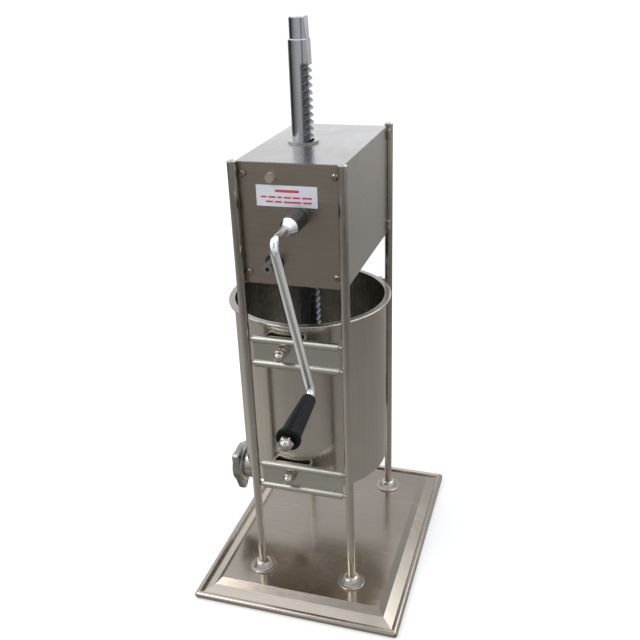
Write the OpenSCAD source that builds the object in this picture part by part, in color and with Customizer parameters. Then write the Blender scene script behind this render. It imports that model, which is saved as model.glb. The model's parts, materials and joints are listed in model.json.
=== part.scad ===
// Vertical two-speed sausage stuffer.
// The origin is the middle of the base's footprint, at table height. +Z is up,
// -Y is the crank side and -X is the outlet side. All sizes are millimetres.

/* [Base] */
// Width of the base, left to right
base_w = 312; // [290:1:330]
// Depth of the base, front to back
base_d = 398; // [380:1:420]
// Height of the raised field that the posts stand on
field_z = 20; // [18:1:22]
// Thickness of the base sheet
base_t = 2; // [1.5:0.5:2.5]

/* [Posts and rails] */
// Height of the post tops
post_top = 654; // [652:1:670]
// Middle height of the upper rails
rail_upper_z = 393; // [380:1:394]
// Middle height of the lower rails
rail_lower_z = 192; // [190:1:200]

/* [Cylinder] */
// Outside diameter of the cylinder
cyl_d = 220; // [216:1:220]
// Height of the cylinder's lower edge
cyl_z = 164; // [160:1:168]
// Height of the cylinder's rim
rim_z = 432; // [428:1:440]
// Outside diameter of the rolled rim
rim_d = 235; // [232:1:235]

/* [Outlet] */
// Outside diameter of the outlet pipe
pipe_d = 48; // [44:1:50]
// Bend radius of the outlet elbow
pipe_bend = 46; // [42:1:48]
// Left end of the outlet pipe
pipe_end_x = -148; // [-152:1:-144]
// Reach of the ring nut's lugs from its axis
lug_reach = 47; // [42:1:50]

/* [Gearbox] */
// Height of the housing's underside
box_z = 491; // [489:1:491]
// Height of the housing
box_h = 160; // [160:1:162]
// Height of the fast shaft
fast_z = 584; // [583:0.5:586]
// Play taken off the thickness of each gear tooth
backlash = 0.25; // [0.2:0.05:0.4]

/* [Rack and piston] */
// Height of the rack's upper end
rack_top = 809; // [795:1:830]
// Height of the piston's lower face
piston_z = 284; // [270:1:290]
// Thickness of the piston
piston_h = 24; // [22:1:26]

/* [Crank] */
// Distance from the fast shaft to the crank's lower bend
crank_len = 195.6; // [180:0.1:205]
// Lean of the crank arm from straight down, in degrees
crank_lean = 11.7; // [0:0.1:45]
// Distance of the crank arm's plane from the centre
crank_y = 216; // [212:1:225]
// Diameter of the crank rod
rod_d = 11; // [10:0.5:12]
// Splay of the grip's spindle away from the shaft's direction, in degrees
grip_splay = 4.1; // [0:0.1:6]
// Length of the grip
grip_len = 83.4; // [75:0.1:90]

/* [Hidden] */
$fn = 72;
eps = 1;                // overrun of a cutting shape past the face that it cuts
clear = 0.05;           // radial clearance of a running fit
seat = 0.02;            // radial clearance of a fixed fit

bead_r = 5;             // rolled edge of the base
bead_z = 4.6;
bead_slot_r = 1.7;       // slot left open at each corner of the rolled edge
brim_z = 6;             // sheet just inside the rolled edge
ramp_z = 12;            // foot of the bevel

post_x = 70.5;
post_y = 124.5;
post_r = 6;
post_chamfer = 1.5;
post_thread = 25;        // depth of the threaded hole in a post's foot, less the overrun
foot_flange_r = 19.5;
foot_flange_t = 2.5;
foot_cone_r = 17;
foot_cone_h = 9.5;
grub_z = field_z + 6.5;
grub_angle = -100;
grub_r = 2.5;
grub_len = 5.2;
m8_r = 4;
m8_af = 13;

rack_x = -18;           // axis of the rack and the cylinder
rail_y = 122;
rail_half = 60;
rail_bead_r = 5.5;
rail_bead_off = 18;
web_t = 2.5;
spigot_r = 3;
bolt_up = 4;            // rail bolts sit this far above a rail's middle
bolt_head_t = 3;
washer_r = 8;
washer_t = 1.6;
rail_bolt_r = 5;
rail_bolt_af = 16;
rail_washer_r = 8.4;
rail_acorn_h = 16;
saddle_half_w = 29;
saddle_half_h = 20.5;
saddle_t = 3;
saddle_root = 100;       // inner end of a bracket before the cylinder is cut out of it
saddle_face = rail_y - rail_bead_r;
nut_t = 6.5;
bolt_head_h = 5.4;      // height of the hexagon heads under the base
base_bolt_len = 24;
spacer_ring_r = 9;       // spacers between the brackets and the rails
bolt_gap = 0.1;          // radial clearance round the rail bolts and cover screws

cyl_r = cyl_d / 2;
cyl_wall = 1.5;
cyl_floor = 2;
bore_r = cyl_r - cyl_wall;
rim_roll_r = 1.8;
pipe_r = pipe_d / 2;
pipe_in_r = pipe_r - 2;
pipe_z = cyl_z - pipe_bend;
ring_r = pipe_r + 5;
ring_w = 17;
ring_lip = 4;
ring_x = pipe_end_x - 2 - ring_lip;
nozzle_r = pipe_r - 4;
lug_angle = -13.4;
lug_tip_r = 6;
lug_w = 12;

box_half_w = 70;
box_half_d = 116;
box_top = box_z + box_h;
sheet_t = 2;
flange_w = 18;          // return flanges round the open front and back
cover_t = 2;
flange_h_low = 23;       // return flange along the bottom of each opening
flange_h_top = 22;
cover_y = box_half_d + cover_t;
plug_x = -23;           // oil plug
plug_z = box_top - 18;
plug_af = 11;
plug_head = 5;
plug_washer_r = 6.6;
plug_washer_t = 1;
label_x = -43;
label_z = fast_z + 12.6;
label_w = 79.5;
label_h = 26.8;
label_t = 0.6;
screw_x = 59.5;
screw_zs = [box_z + 16, box_top - 14.5];
m5_r = 2.5;
button_r = 4.4;          // button head of a cover screw
button_top_r = 2.8;
button_h = 2.6;
m5_washer_r = 5;
m5_washer_t = 1;
m5_depth = 14;           // thread of a cover screw in its tie rod
tie_r = 5;
tie_half = box_half_d - sheet_t;
plate_t = 8;
plate_half_w = 65;
plate_margin = 7;        // gap above and below a gear plate in the housing
front_plate_y = -tie_half;
middle_plate_y = -45;
rear_plate_y = 20;
spacer_r = 7;

rack_r = 15;
rack_mod = 3;
rack_pitch = PI * rack_mod;
pressure = 25;          // pressure angle of every tooth, in degrees
rack_line = 10.2;       // rack axis to its pitch line
rack_tip = rack_line + rack_mod;
rack_root = rack_line - 1.25 * rack_mod;
rack_shift = 2;         // a tooth gap is this far above the fast shaft's axis
pinion_teeth = 13;
pinion_r = pinion_teeth * rack_mod / 2;
gear_mod = 2.5;
drive_teeth = 42;
slow_teeth = 14;
drive_r = drive_teeth * gear_mod / 2;
slow_r = slow_teeth * gear_mod / 2;
fast_x = rack_x + rack_line + pinion_r;
slow_side = 34.9;       // the slow shaft is this far left of the fast one
slow_drop = sqrt(pow(drive_r + slow_r, 2) - pow(slow_side, 2));
slow_x = fast_x - slow_side;
slow_z = fast_z - slow_drop;
mesh_angle = atan2(-slow_drop, -slow_side);
shaft_r = 8;
seat_r = 7.5;           // turned seat for the crank on each shaft's outer end
seat_y = -123;
shoulder_r = 10.5;
pinion_half = 14;       // half length of the pinion's teeth
drive_y = -75;
drive_w = 15;
slow_gear_y = -77;
slow_gear_w = 19;
shaft_rear = 35;
clip_y = rear_plate_y + plate_t + 2.4;
key_w = 5;
key_y = -71;
key_len = 20;
key_seat = 5;            // depth of the keyway's floor from the shaft's axis
clip_t = 1.1;
shoulder_gap = 0.3;      // end play between a shaft's shoulder and its plate or bush
gear_hub_r = 16;
gear_window_r = 8;
gear_window_at = 32;
centre_hole_r = 2.5;
centre_hole_depth = 12;
bush_r = 11;
bush_flange_r = 12.4;
bush_flange_t = 2;
seal_r = 12;
seal_t = 2.5;
hex_end_y = -136;
slow_end_y = -148;

collar_flange_r = 21;   // flange of a rack bush
collar_r = 18;
collar_flange_t = 2.5;
bush_depth = 26;        // reach of a rack bush into the housing
turned_r = 12.8;        // the rack's turned upper end
turned_z = rack_top - 27;
turned_chamfer = 1.5;
flat_lean = 1.8;         // lean of the flat at the shoulder, and twice that at the top
flat_z = 330;           // foot of the rack's milled flat
first_gap = -25;
last_gap = 17;
stud_r = 8;
stud_len = 12;
piston_nut_af = 24;
piston_nut_h = 8;
piston_r = bore_r - 1;
piston_floor = 6;
piston_chamfer = 2;
piston_rib = 6;          // thickness left between the groove and the hollow top
boss_r = 24;            // boss under the rack's shoulder
groove_r = piston_r - 4.5;
groove_h = 12;
groove_z = piston_z + (piston_h - groove_h) / 2;

cone_y = -160;          // where the chrome cone starts
cone_len = 12;
hub_r = 12.5;
shaft_front = -158;
rod_r = rod_d / 2;
upper_bend = 14;
lower_bend = 12;
lower_turn = 90 - grip_splay;
lower_reach = lower_bend * tan(lower_turn / 2);
spindle_r = 5;
spindle_step = 0.4;      // full rod left beyond the lower bend
grip_nut_af = 16;
grip_nut_h = 16;
spindle_tail = 9;        // spindle beyond the grip, inside its nut
grip_start = lower_reach + 0.6;
grip_end = grip_start + grip_len;

// ---------------------------------------------------------------- helpers

// A cylinder along Y from y0 to y1.
module rod_y(r, y0, y1) {
  translate([0, y0, 0]) rotate([-90, 0, 0]) cylinder(r = r, h = y1 - y0);
}

// A cylinder along X from x0 to x1.
module rod_x(r, x0, x1) {
  translate([x0, 0, 0]) rotate([0, 90, 0]) cylinder(r = r, h = x1 - x0);
}

// A ring along +Z.
module ring(r, hole_r, h) {
  difference() {
    cylinder(r = r, h = h);
    translate([0, 0, -eps]) cylinder(r = hole_r, h = h + 2 * eps);
  }
}

// A hexagonal prism along +Z, sized across its flats.
module hex(af, h) {
  cylinder(d = af / cos(30), h = h, $fn = 6);
}

// A plain hexagonal nut along +Z.
module hex_nut(af, hole_r, h) {
  difference() {
    hex(af, h);
    translate([0, 0, -eps]) cylinder(r = hole_r, h = h + 2 * eps);
  }
}

// A domed nut along +Z, standing on its open face.
module acorn_nut(af, hole_r, h) {
  dome_r = af * 0.46;
  difference() {
    union() {
      hex(af, h - dome_r);
      translate([0, 0, h - dome_r]) sphere(r = dome_r);
    }
    translate([0, 0, -eps]) cylinder(r = hole_r, h = h * 0.6 + eps);
  }
}

// Children at each post.
module at_posts() {
  for (side_x = [-1, 1]) {
    for (side_y = [-1, 1]) {
      translate([side_x * post_x, side_y * post_y, 0]) children();
    }
  }
}

// Children on the front and back bolts of the rails at height z, with the
// rail's middle plane at zero and +Z pointing outwards.
module at_rail_bolts(z) {
  for (side_y = [-1, 1]) {
    translate([rack_x, side_y * rail_y, z + bolt_up]) rotate([-side_y * 90, 0, 0]) children();
  }
}

// Children at the four tie rods.
module at_tie_rods() {
  for (side_x = [-1, 1]) {
    for (z = screw_zs) {
      translate([side_x * screw_x, 0, z]) children();
    }
  }
}

module at_fast_shaft() {
  translate([fast_x, 0, fast_z]) children();
}

module at_slow_shaft() {
  translate([slow_x, 0, slow_z]) children();
}

// The crank's own frame: the shaft along Y and the arm straight down.
module at_crank() {
  translate([fast_x, 0, fast_z]) rotate([0, -crank_lean, 0]) children();
}

// The grip spindle's frame: +Z runs out along the spindle from the lower bend.
module at_spindle() {
  at_crank() translate([0, -crank_y, -crank_len]) rotate([90 + grip_splay, 0, 0]) children();
}

// ---------------------------------------------------------------- teeth

// Involute function, in degrees.
function involute(a) = tan(a) * 180 / PI - a;

function polar(r, a) = [r * cos(a), r * sin(a)];

// Angle from a tooth's middle to its flank at radius r, on pitch radius rp.
function flank_angle(r, rp, mod) =
  (PI * mod / 2 - backlash) / (2 * rp) * 180 / PI
  + involute(pressure) - involute(acos(min(1, rp * cos(pressure) / r)));

// Radii along one flank, from the root to the tip.
function flank_radii(rp, mod) = let (
  root = rp - 1.25 * mod,
  start = max(root, rp * cos(pressure)),
  tip = rp + mod
) concat(root < start ? [root] : [], [for (i = [0:5]) start + (tip - start) * i / 5]);

// Outline of a whole gear, with one tooth pointing along the first axis.
function gear_outline(teeth, mod) = let (
  rp = teeth * mod / 2,
  radii = flank_radii(rp, mod),
  last = len(radii) - 1
) [
  for (t = [0:teeth - 1]) each concat(
    [for (i = [0:last]) polar(radii[i], t * 360 / teeth - flank_angle(radii[i], rp, mod))],
    [for (i = [0:last]) polar(radii[last - i], t * 360 / teeth + flank_angle(radii[last - i], rp, mod))]
  )
];

// A gear along +Y from y0, with one tooth at the given angle above +X.
module gear_y(teeth, mod, y0, w, angle) {
  translate([0, y0 + w, 0]) rotate([90, 0, 0]) linear_extrude(w) rotate(angle)
    polygon(gear_outline(teeth, mod));
}

// ---------------------------------------------------------------- base

// Section of the pressed sheet for half width w: a low brim, a gentle ramp,
// a steeper bevel and the raised field.
function pan_section(w) = [
  [-w + 5, -9], [-w + 5, brim_z], [-w + 10, brim_z], [-w + 25, ramp_z], [-w + 34, field_z],
  [w - 34, field_z], [w - 25, ramp_z], [w - 10, brim_z], [w - 5, brim_z], [w - 5, -9]
];

module pan_solid() {
  intersection() {
    translate([0, base_d, 0]) rotate([90, 0, 0]) linear_extrude(2 * base_d) polygon(pan_section(base_w / 2));
    translate([-base_w, 0, 0]) rotate([90, 0, 90]) linear_extrude(2 * base_w)
      polygon(pan_section(base_d / 2));
  }
}

// The rolled edge, open at its corners, with a narrow flat underneath to rest on.
module base_bead() {
  half_w = base_w / 2 - bead_r;
  half_d = base_d / 2 - bead_r;
  difference() {
    translate([0, 0, bead_z]) for (side = [-1, 1]) {
      translate([0, side * half_d, 0]) rod_x(bead_r, -half_w, half_w);
      translate([side * half_w, 0, 0]) rod_y(bead_r, -half_d, half_d);
      for (end = [-1, 1]) {
        translate([side * half_w, end * half_d, 0]) sphere(r = bead_r);
      }
    }
    translate([-base_w, -base_d, -10]) cube([2 * base_w, 2 * base_d, 10]);
    for (side_x = [-1, 1]) {
      for (side_y = [-1, 1]) {
        translate([side_x * half_w, side_y * (half_d + 1), bead_z + 0.6])
          rotate([0, 0, side_x * side_y * -45])
          rod_y(bead_slot_r, side_y > 0 ? 0 : -2 * bead_r, side_y > 0 ? 2 * bead_r : 0);
      }
    }
  }
}

module base_plate() {
  color("gainsboro") difference() {
    union() {
      difference() {
        pan_solid();
        translate([0, 0, -base_t]) pan_solid();
      }
      base_bead();
    }
    at_posts() translate([0, 0, -eps]) cylinder(r = m8_r + 0.2, h = field_z + 2 * eps);
  }
}

module base_bolts() {
  under = field_z - base_t;
  color("silver") at_posts() {
    translate([0, 0, under - washer_t - bolt_head_h]) hex(m8_af, bolt_head_h);
    translate([0, 0, under - washer_t]) cylinder(r = washer_r, h = washer_t);
    translate([0, 0, under - washer_t - 1]) cylinder(r = m8_r, h = base_bolt_len);
  }
}

module foot_flanges() {
  color("silver") at_posts() difference() {
    union() {
      translate([0, 0, field_z]) cylinder(r = foot_flange_r, h = foot_flange_t);
      translate([0, 0, field_z + foot_flange_t]) cylinder(r1 = foot_cone_r, r2 = post_r + 2, h = foot_cone_h);
    }
    translate([0, 0, field_z - eps]) cylinder(r = post_r + clear, h = foot_flange_t + foot_cone_h + 2 * eps);
    translate([0, 0, grub_z]) rotate([0, 0, grub_angle]) rod_x(grub_r, 0, foot_flange_r + eps);
  }
}

module grub_screws() {
  color("dimgray") at_posts() {
    translate([0, 0, grub_z]) rotate([0, 0, grub_angle]) difference() {
      rod_x(grub_r - seat, post_r + 0.3, post_r + 0.3 + grub_len);
      translate([post_r + 3, 0, 0]) rotate([0, 90, 0]) hex(2.5, 10);
    }
  }
}

// ---------------------------------------------------------------- frame

module post(side_x, side_y) {
  color("silver") translate([side_x * post_x, side_y * post_y, 0]) difference() {
    union() {
      translate([0, 0, field_z]) cylinder(r = post_r, h = post_top - field_z - post_chamfer);
      translate([0, 0, post_top - post_chamfer])
        cylinder(r1 = post_r, r2 = post_r - post_chamfer, h = post_chamfer);
    }
    translate([0, 0, field_z - eps]) cylinder(r = m8_r + seat, h = post_thread);
    for (z = [rail_lower_z, rail_upper_z]) {
      for (off = [-rail_bead_off, rail_bead_off]) {
        translate([-side_x * 4.5, side_y * (rail_y - post_y), z + off])
          rotate([0, 90, 0]) cylinder(r = spigot_r + seat, h = 7, center = true);
      }
    }
  }
}

module post_front_left() { post(-1, -1); }
module post_front_right() { post(1, -1); }
module post_rear_left() { post(-1, 1); }
module post_rear_right() { post(1, 1); }

// Short weld beads that join the posts to the housing's side walls.
module corner_welds() {
  weld_h = 16;
  weld_r = 3.4;
  weld_inset = 4;
  color("silver") for (side_x = [-1, 1]) {
    for (side_y = [-1, 1]) {
      for (z = [box_z + weld_inset, box_top - weld_inset - weld_h]) {
        difference() {
          translate([side_x * (box_half_w + 2), side_y * (box_half_d + 1), z])
            cylinder(r = weld_r, h = weld_h);
          translate([side_x * post_x, side_y * post_y, z - eps])
            cylinder(r = post_r + seat, h = weld_h + 2 * eps);
          translate([-box_half_w - seat, -base_d / 2, z - eps])
            cube([2 * (box_half_w + seat), base_d, weld_h + 2 * eps]);
        }
      }
    }
  }
}

// A flat web between two round bars, with a spigot at each bar's ends.
module rail(side_y, z) {
  color("silver") translate([0, side_y * rail_y, z]) difference() {
    union() {
      translate([-rail_half, -web_t / 2, -rail_bead_off]) cube([2 * rail_half, web_t, 2 * rail_bead_off]);
      for (off = [-rail_bead_off, rail_bead_off]) {
        translate([0, 0, off]) rod_x(rail_bead_r, -rail_half, rail_half);
        translate([0, 0, off]) rod_x(spigot_r, -post_x + 1.5, post_x - 1.5);
      }
    }
    translate([rack_x, 0, bolt_up]) rod_y(rail_bolt_r + bolt_gap, -10, 10);
  }
}

module rail_front_upper() { rail(-1, rail_upper_z); }
module rail_front_lower() { rail(-1, rail_lower_z); }
module rail_rear_upper() { rail(1, rail_upper_z); }
module rail_rear_lower() { rail(1, rail_lower_z); }

// Channel brackets between the cylinder's wall and the rails.
module saddle_brackets() {
  inner_half_w = saddle_half_w - saddle_t;
  inner_face = saddle_face - saddle_t;
  color("silver") for (side = [0, 1]) {
    for (z = [rail_lower_z, rail_upper_z]) {
      mirror([0, side, 0]) translate([rack_x, 0, z]) difference() {
        translate([-saddle_half_w, saddle_root, -saddle_half_h])
          cube([2 * saddle_half_w, saddle_face - saddle_root, 2 * saddle_half_h]);
        translate([-inner_half_w, saddle_root - eps, -saddle_half_h - eps])
          cube([2 * inner_half_w, inner_face - saddle_root + eps, 2 * (saddle_half_h + eps)]);
        translate([0, 0, -saddle_half_h - eps]) cylinder(r = cyl_r + seat, h = 2 * (saddle_half_h + eps));
        translate([0, 0, bolt_up])
          rod_y(rail_bolt_r + bolt_gap, inner_face - eps, saddle_face + eps);
      }
    }
  }
}

// Flat-headed bolts through the brackets and rails. The upper ones are longer by their lock nuts.
module rail_bolt(reach) {
  head_face = saddle_face - saddle_t - rail_y;
  translate([0, 0, head_face - bolt_head_t]) cylinder(r = washer_r, h = bolt_head_t);
  translate([0, 0, head_face - 1]) cylinder(r = rail_bolt_r, h = 1 - head_face + reach);
}

module rail_bolts() {
  reach = web_t / 2 + washer_t + rail_acorn_h * 0.5;
  color("silver") {
    at_rail_bolts(rail_lower_z) rail_bolt(reach);
    at_rail_bolts(rail_upper_z) rail_bolt(reach + nut_t);
  }
}

module rail_spacers() {
  color("silver") for (z = [rail_lower_z, rail_upper_z]) {
    at_rail_bolts(z) translate([0, 0, saddle_face - rail_y])
      ring(spacer_ring_r, rail_bolt_r + bolt_gap, rail_bead_r - web_t / 2);
  }
}

module rail_washers() {
  color("silver") for (z = [rail_lower_z, rail_upper_z]) {
    at_rail_bolts(z) translate([0, 0, web_t / 2]) ring(rail_washer_r, rail_bolt_r + bolt_gap, washer_t);
  }
}

module lock_nuts() {
  color("silver") at_rail_bolts(rail_upper_z)
    translate([0, 0, web_t / 2 + washer_t]) hex_nut(rail_bolt_af, rail_bolt_r + seat, nut_t);
}

module rail_acorn_nut() {
  acorn_nut(rail_bolt_af, rail_bolt_r + seat, rail_acorn_h);
}

module rail_acorn_nuts() {
  color("silver") {
    at_rail_bolts(rail_lower_z) translate([0, 0, web_t / 2 + washer_t]) rail_acorn_nut();
    at_rail_bolts(rail_upper_z) translate([0, 0, web_t / 2 + washer_t + nut_t]) rail_acorn_nut();
  }
}

// ---------------------------------------------------------------- cylinder and outlet

module cylinder_can() {
  difference() {
    union() {
      cylinder(r = cyl_r, h = rim_z - cyl_z);
      translate([0, 0, rim_z - cyl_z - cyl_wall]) cylinder(r = rim_d / 2 - rim_roll_r, h = cyl_wall);
      translate([0, 0, rim_z - cyl_z - rim_roll_r])
        rotate_extrude() translate([rim_d / 2 - rim_roll_r, 0]) circle(r = rim_roll_r);
    }
    translate([0, 0, cyl_floor]) cylinder(r = bore_r, h = rim_z);
    translate([0, 0, -eps]) cylinder(r = pipe_in_r, h = cyl_floor + 2 * eps);
  }
}

module cylinder_node() {
  color("silver") translate([rack_x, 0, cyl_z]) cylinder_can();
}

// A quarter bend from straight down to the left, then a straight run.
module elbow_solid(r, end_x) {
  translate([rack_x - pipe_bend, 0, cyl_z]) rotate([-90, 0, 0])
    rotate_extrude(angle = 90) translate([pipe_bend, 0]) circle(r = r);
  translate([0, 0, pipe_z]) rod_x(r, end_x, rack_x - pipe_bend);
}

module outlet_elbow() {
  color("silver") difference() {
    elbow_solid(pipe_r, pipe_end_x);
    elbow_solid(pipe_in_r, pipe_end_x - eps);
  }
}

// One lug of the ring nut along +X, running straight from the ring to its round tip.
module nut_lug() {
  tip_x = lug_reach - lug_tip_r;
  slope = asin((ring_r - lug_tip_r) / tip_x);
  ring_end = ring_r * [sin(slope), cos(slope)];
  tip_end = lug_tip_r * [sin(slope), cos(slope)];
  translate([0, 0, (ring_w - lug_w) / 2]) {
    linear_extrude(lug_w) polygon([
      ring_end, [tip_x + tip_end.x, tip_end.y], [tip_x + tip_end.x, -tip_end.y], [ring_end.x, -ring_end.y]
    ]);
    translate([tip_x, 0, 0]) cylinder(r = lug_tip_r, h = lug_w);
  }
}

// Cast nut with three lugs. Its lip holds a nozzle's flange against the pipe.
module ring_nut() {
  color("darkgray") translate([ring_x, 0, pipe_z]) rotate([0, 90, 0]) rotate([0, 0, lug_angle]) difference() {
    union() {
      cylinder(r = ring_r, h = ring_w);
      for (turn = [0, 120, 240]) {
        rotate([0, 0, turn]) nut_lug();
      }
    }
    translate([0, 0, -eps]) cylinder(r = nozzle_r, h = ring_w);
    translate([0, 0, ring_lip]) cylinder(r = pipe_r + clear, h = ring_w);
  }
}

// ---------------------------------------------------------------- housing

module housing() {
  open_half_w = box_half_w - flange_w;
  inner_half_d = box_half_d - sheet_t;
  color("silver") difference() {
    translate([-box_half_w, -box_half_d, box_z]) cube([2 * box_half_w, 2 * box_half_d, box_h]);
    translate([sheet_t - box_half_w, -inner_half_d, box_z + sheet_t])
      cube([2 * (box_half_w - sheet_t), 2 * inner_half_d, box_h - 2 * sheet_t]);
    translate([-open_half_w, -box_half_d - eps, box_z + flange_h_low])
      cube([2 * open_half_w, 2 * (box_half_d + eps), box_h - flange_h_low - flange_h_top]);
    at_slow_shaft() rod_y(bush_r + 1, -box_half_d - eps, -box_half_d + 2 * sheet_t);
    translate([plug_x, 0, plug_z]) rod_y(m8_r + 1, -box_half_d - eps, -box_half_d + 2 * sheet_t);
    translate([rack_x, 0, box_z - eps]) cylinder(r = collar_r + seat, h = box_h + 2 * eps);
    at_tie_rods() rod_y(m5_r + bolt_gap, -box_half_d - eps, box_half_d + eps);
  }
}

// Blank cover sheet with its four screw holes, lying between y0 and y0 + cover_t.
module cover_sheet(y0) {
  difference() {
    translate([0.5 - box_half_w, y0, box_z + 0.5]) cube([2 * box_half_w - 1, cover_t, box_h - 1]);
    at_tie_rods() rod_y(m5_r + bolt_gap, y0 - eps, y0 + cover_t + eps);
  }
}

module front_cover() {
  color([0.45, 0.42, 0.39]) difference() {
    cover_sheet(-cover_y);
    at_fast_shaft() rod_y(bush_r + seat, -cover_y - eps, -box_half_d + eps);
    at_slow_shaft() rod_y(bush_r + seat, -cover_y - eps, -box_half_d + eps);
    translate([plug_x, 0, plug_z]) rod_y(m8_r + seat, -cover_y - eps, -box_half_d + eps);
  }
}

module rear_cover() {
  color([0.45, 0.42, 0.39]) cover_sheet(box_half_d);
}

// Button-headed screws with washers, through the covers into the tie rods.
module cover_screws() {
  dome_h = 1.4;
  dome_y = dome_h - cover_y - m5_washer_t - button_h;
  color("silver") for (side = [0, 1]) {
    mirror([0, side, 0]) at_tie_rods() difference() {
      union() {
        rod_y(m5_washer_r, -cover_y - m5_washer_t, -cover_y);
        rod_y(button_r, dome_y, -cover_y - m5_washer_t);
        translate([0, dome_y, 0]) rotate([90, 0, 0]) cylinder(r1 = button_r, r2 = button_top_r, h = dome_h);
        rod_y(m5_r, -cover_y - 1, -cover_y + m5_depth);
      }
      translate([0, dome_y + 0.6, 0]) rotate([90, 0, 0]) hex(3, button_h + eps);
    }
  }
}

// Blank sticker on the front cover.
module label_plate() {
  color([0.78, 0.78, 0.79]) translate([label_x, -cover_y - label_t, label_z])
    cube([label_w, label_t, label_h]);
}

module oil_plug() {
  color([0.7, 0.66, 0.58]) translate([plug_x, 0, plug_z]) {
    translate([0, -cover_y - plug_washer_t, 0]) rotate([90, 0, 0]) hex(plug_af, plug_head);
    rod_y(plug_washer_r, -cover_y - plug_washer_t, -cover_y);
    rod_y(m8_r, -cover_y - plug_washer_t - 0.5, -cover_y + 3.5);
  }
}

// ---------------------------------------------------------------- gear cassette

module tie_rods() {
  color("silver") at_tie_rods() difference() {
    rod_y(tie_r, -tie_half, tie_half);
    rod_y(m5_r + seat, -tie_half - eps, -tie_half + m5_depth);
    rod_y(m5_r + seat, tie_half - m5_depth, tie_half + eps);
  }
}

module plate_spacers() {
  stations = [front_plate_y, middle_plate_y, rear_plate_y, tie_half];
  color("silver") at_tie_rods() for (i = [0:2]) {
    difference() {
      rod_y(spacer_r, stations[i] + plate_t, stations[i + 1]);
      rod_y(tie_r + clear, stations[i], stations[i + 1] + eps);
    }
  }
}

// A gear plate with holes for the tie rods and for the bushes of the named shafts.
module gear_plate(y0, has_slow) {
  difference() {
    translate([-plate_half_w, y0, box_z + plate_margin])
      cube([2 * plate_half_w, plate_t, box_h - 2 * plate_margin]);
    at_tie_rods() rod_y(tie_r + clear, y0 - eps, y0 + plate_t + eps);
    at_fast_shaft() rod_y(bush_r + seat, y0 - eps, y0 + plate_t + eps);
    if (has_slow) at_slow_shaft() rod_y(bush_r + seat, y0 - eps, y0 + plate_t + eps);
  }
}

module front_gear_plate() {
  color("gray") gear_plate(front_plate_y, true);
}

module middle_gear_plate() {
  color("gray") gear_plate(middle_plate_y, true);
}

module rear_gear_plate() {
  color("gray") gear_plate(rear_plate_y, false);
}

// A flanged bush from y0 to y1, with its flange outside y0 or outside y1.
module bush(y0, y1, flange_first) {
  flange_y = flange_first ? y0 - bush_flange_t : y1;
  difference() {
    union() {
      rod_y(bush_r, y0, y1);
      rod_y(bush_flange_r, flange_y, flange_y + bush_flange_t);
    }
    rod_y(shaft_r + clear, y0 - 5, y1 + 5);
  }
}

module shaft_bushes() {
  color([0.75, 0.6, 0.35]) {
    at_fast_shaft() {
      bush(-cover_y, front_plate_y + plate_t, true);
      bush(middle_plate_y, middle_plate_y + plate_t, true);
      bush(rear_plate_y, rear_plate_y + plate_t, false);
    }
    at_slow_shaft() {
      bush(-cover_y, front_plate_y + plate_t, true);
      bush(middle_plate_y, middle_plate_y + plate_t, true);
    }
  }
}

module seal_ring() {
  seal_y = -cover_y - bush_flange_t;
  difference() {
    rod_y(seal_r, seal_y - seal_t, seal_y);
    rod_y(shaft_r + clear, seal_y - seal_t - eps, seal_y + eps);
  }
}

module shaft_seals() {
  color([0.08, 0.08, 0.08]) {
    at_fast_shaft() seal_ring();
    at_slow_shaft() seal_ring();
  }
}

// A flanged guide for the rack, standing on z = 0 with its body going down.
module rack_bush() {
  difference() {
    union() {
      cylinder(r = collar_flange_r, h = collar_flange_t);
      translate([0, 0, -bush_depth]) cylinder(r = collar_r, h = bush_depth + 1);
    }
    translate([0, 0, -bush_depth - eps]) cylinder(r = rack_r + clear, h = bush_depth + 10);
  }
}

module upper_rack_bush() {
  color("silver") translate([rack_x, 0, box_top]) rack_bush();
}

module lower_rack_bush() {
  color("silver") translate([rack_x, 0, box_z]) mirror([0, 0, 1]) rack_bush();
}

// ---------------------------------------------------------------- rack and piston

// Side outline of the rack: a milled flat with a row of tooth gaps, and a
// slight taper at the top. The first number is the distance from the axis.
function rack_outline() =
  let (
    tip_half = rack_pitch / 4 + rack_mod * tan(pressure) + backlash / 2,
    root_half = rack_pitch / 4 - 1.25 * rack_mod * tan(pressure) + backlash / 2
  )
  concat(
    [
      [-rack_r - 5, piston_z + piston_h], [rack_r + 5, piston_z + piston_h],
      [rack_r + 5, flat_z], [rack_tip, flat_z]
    ],
    [for (n = [first_gap:last_gap]) let (z = fast_z + rack_shift + n * rack_pitch) each [
      [rack_tip, z - tip_half], [rack_root, z - root_half],
      [rack_root, z + root_half], [rack_tip, z + tip_half]
    ]],
    [
      [rack_tip, fast_z + rack_shift + last_gap * rack_pitch + 5.8], [rack_tip - flat_lean, turned_z],
      [rack_tip - 2 * flat_lean, rack_top], [-rack_r - 5, rack_top]
    ]
  );

module rack() {
  color([0.5, 0.5, 0.56]) translate([rack_x, 0, 0]) {
    intersection() {
      union() {
        translate([0, 0, piston_z + piston_h]) cylinder(r = rack_r, h = turned_z - piston_z - piston_h - 1);
        translate([0, 0, turned_z - 1]) cylinder(r1 = rack_r, r2 = rack_r - 1, h = 1);
        translate([0, 0, turned_z - 1]) cylinder(r = turned_r, h = rack_top - turned_z - turned_chamfer + 1);
        translate([0, 0, rack_top - turned_chamfer])
          cylinder(r1 = turned_r, r2 = turned_r - turned_chamfer, h = turned_chamfer);
      }
      rotate([90, 0, 0]) linear_extrude(4 * rack_r, center = true) polygon(rack_outline());
    }
    translate([0, 0, piston_z - stud_len]) cylinder(r = stud_r, h = stud_len + piston_h + 1);
  }
}

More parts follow.
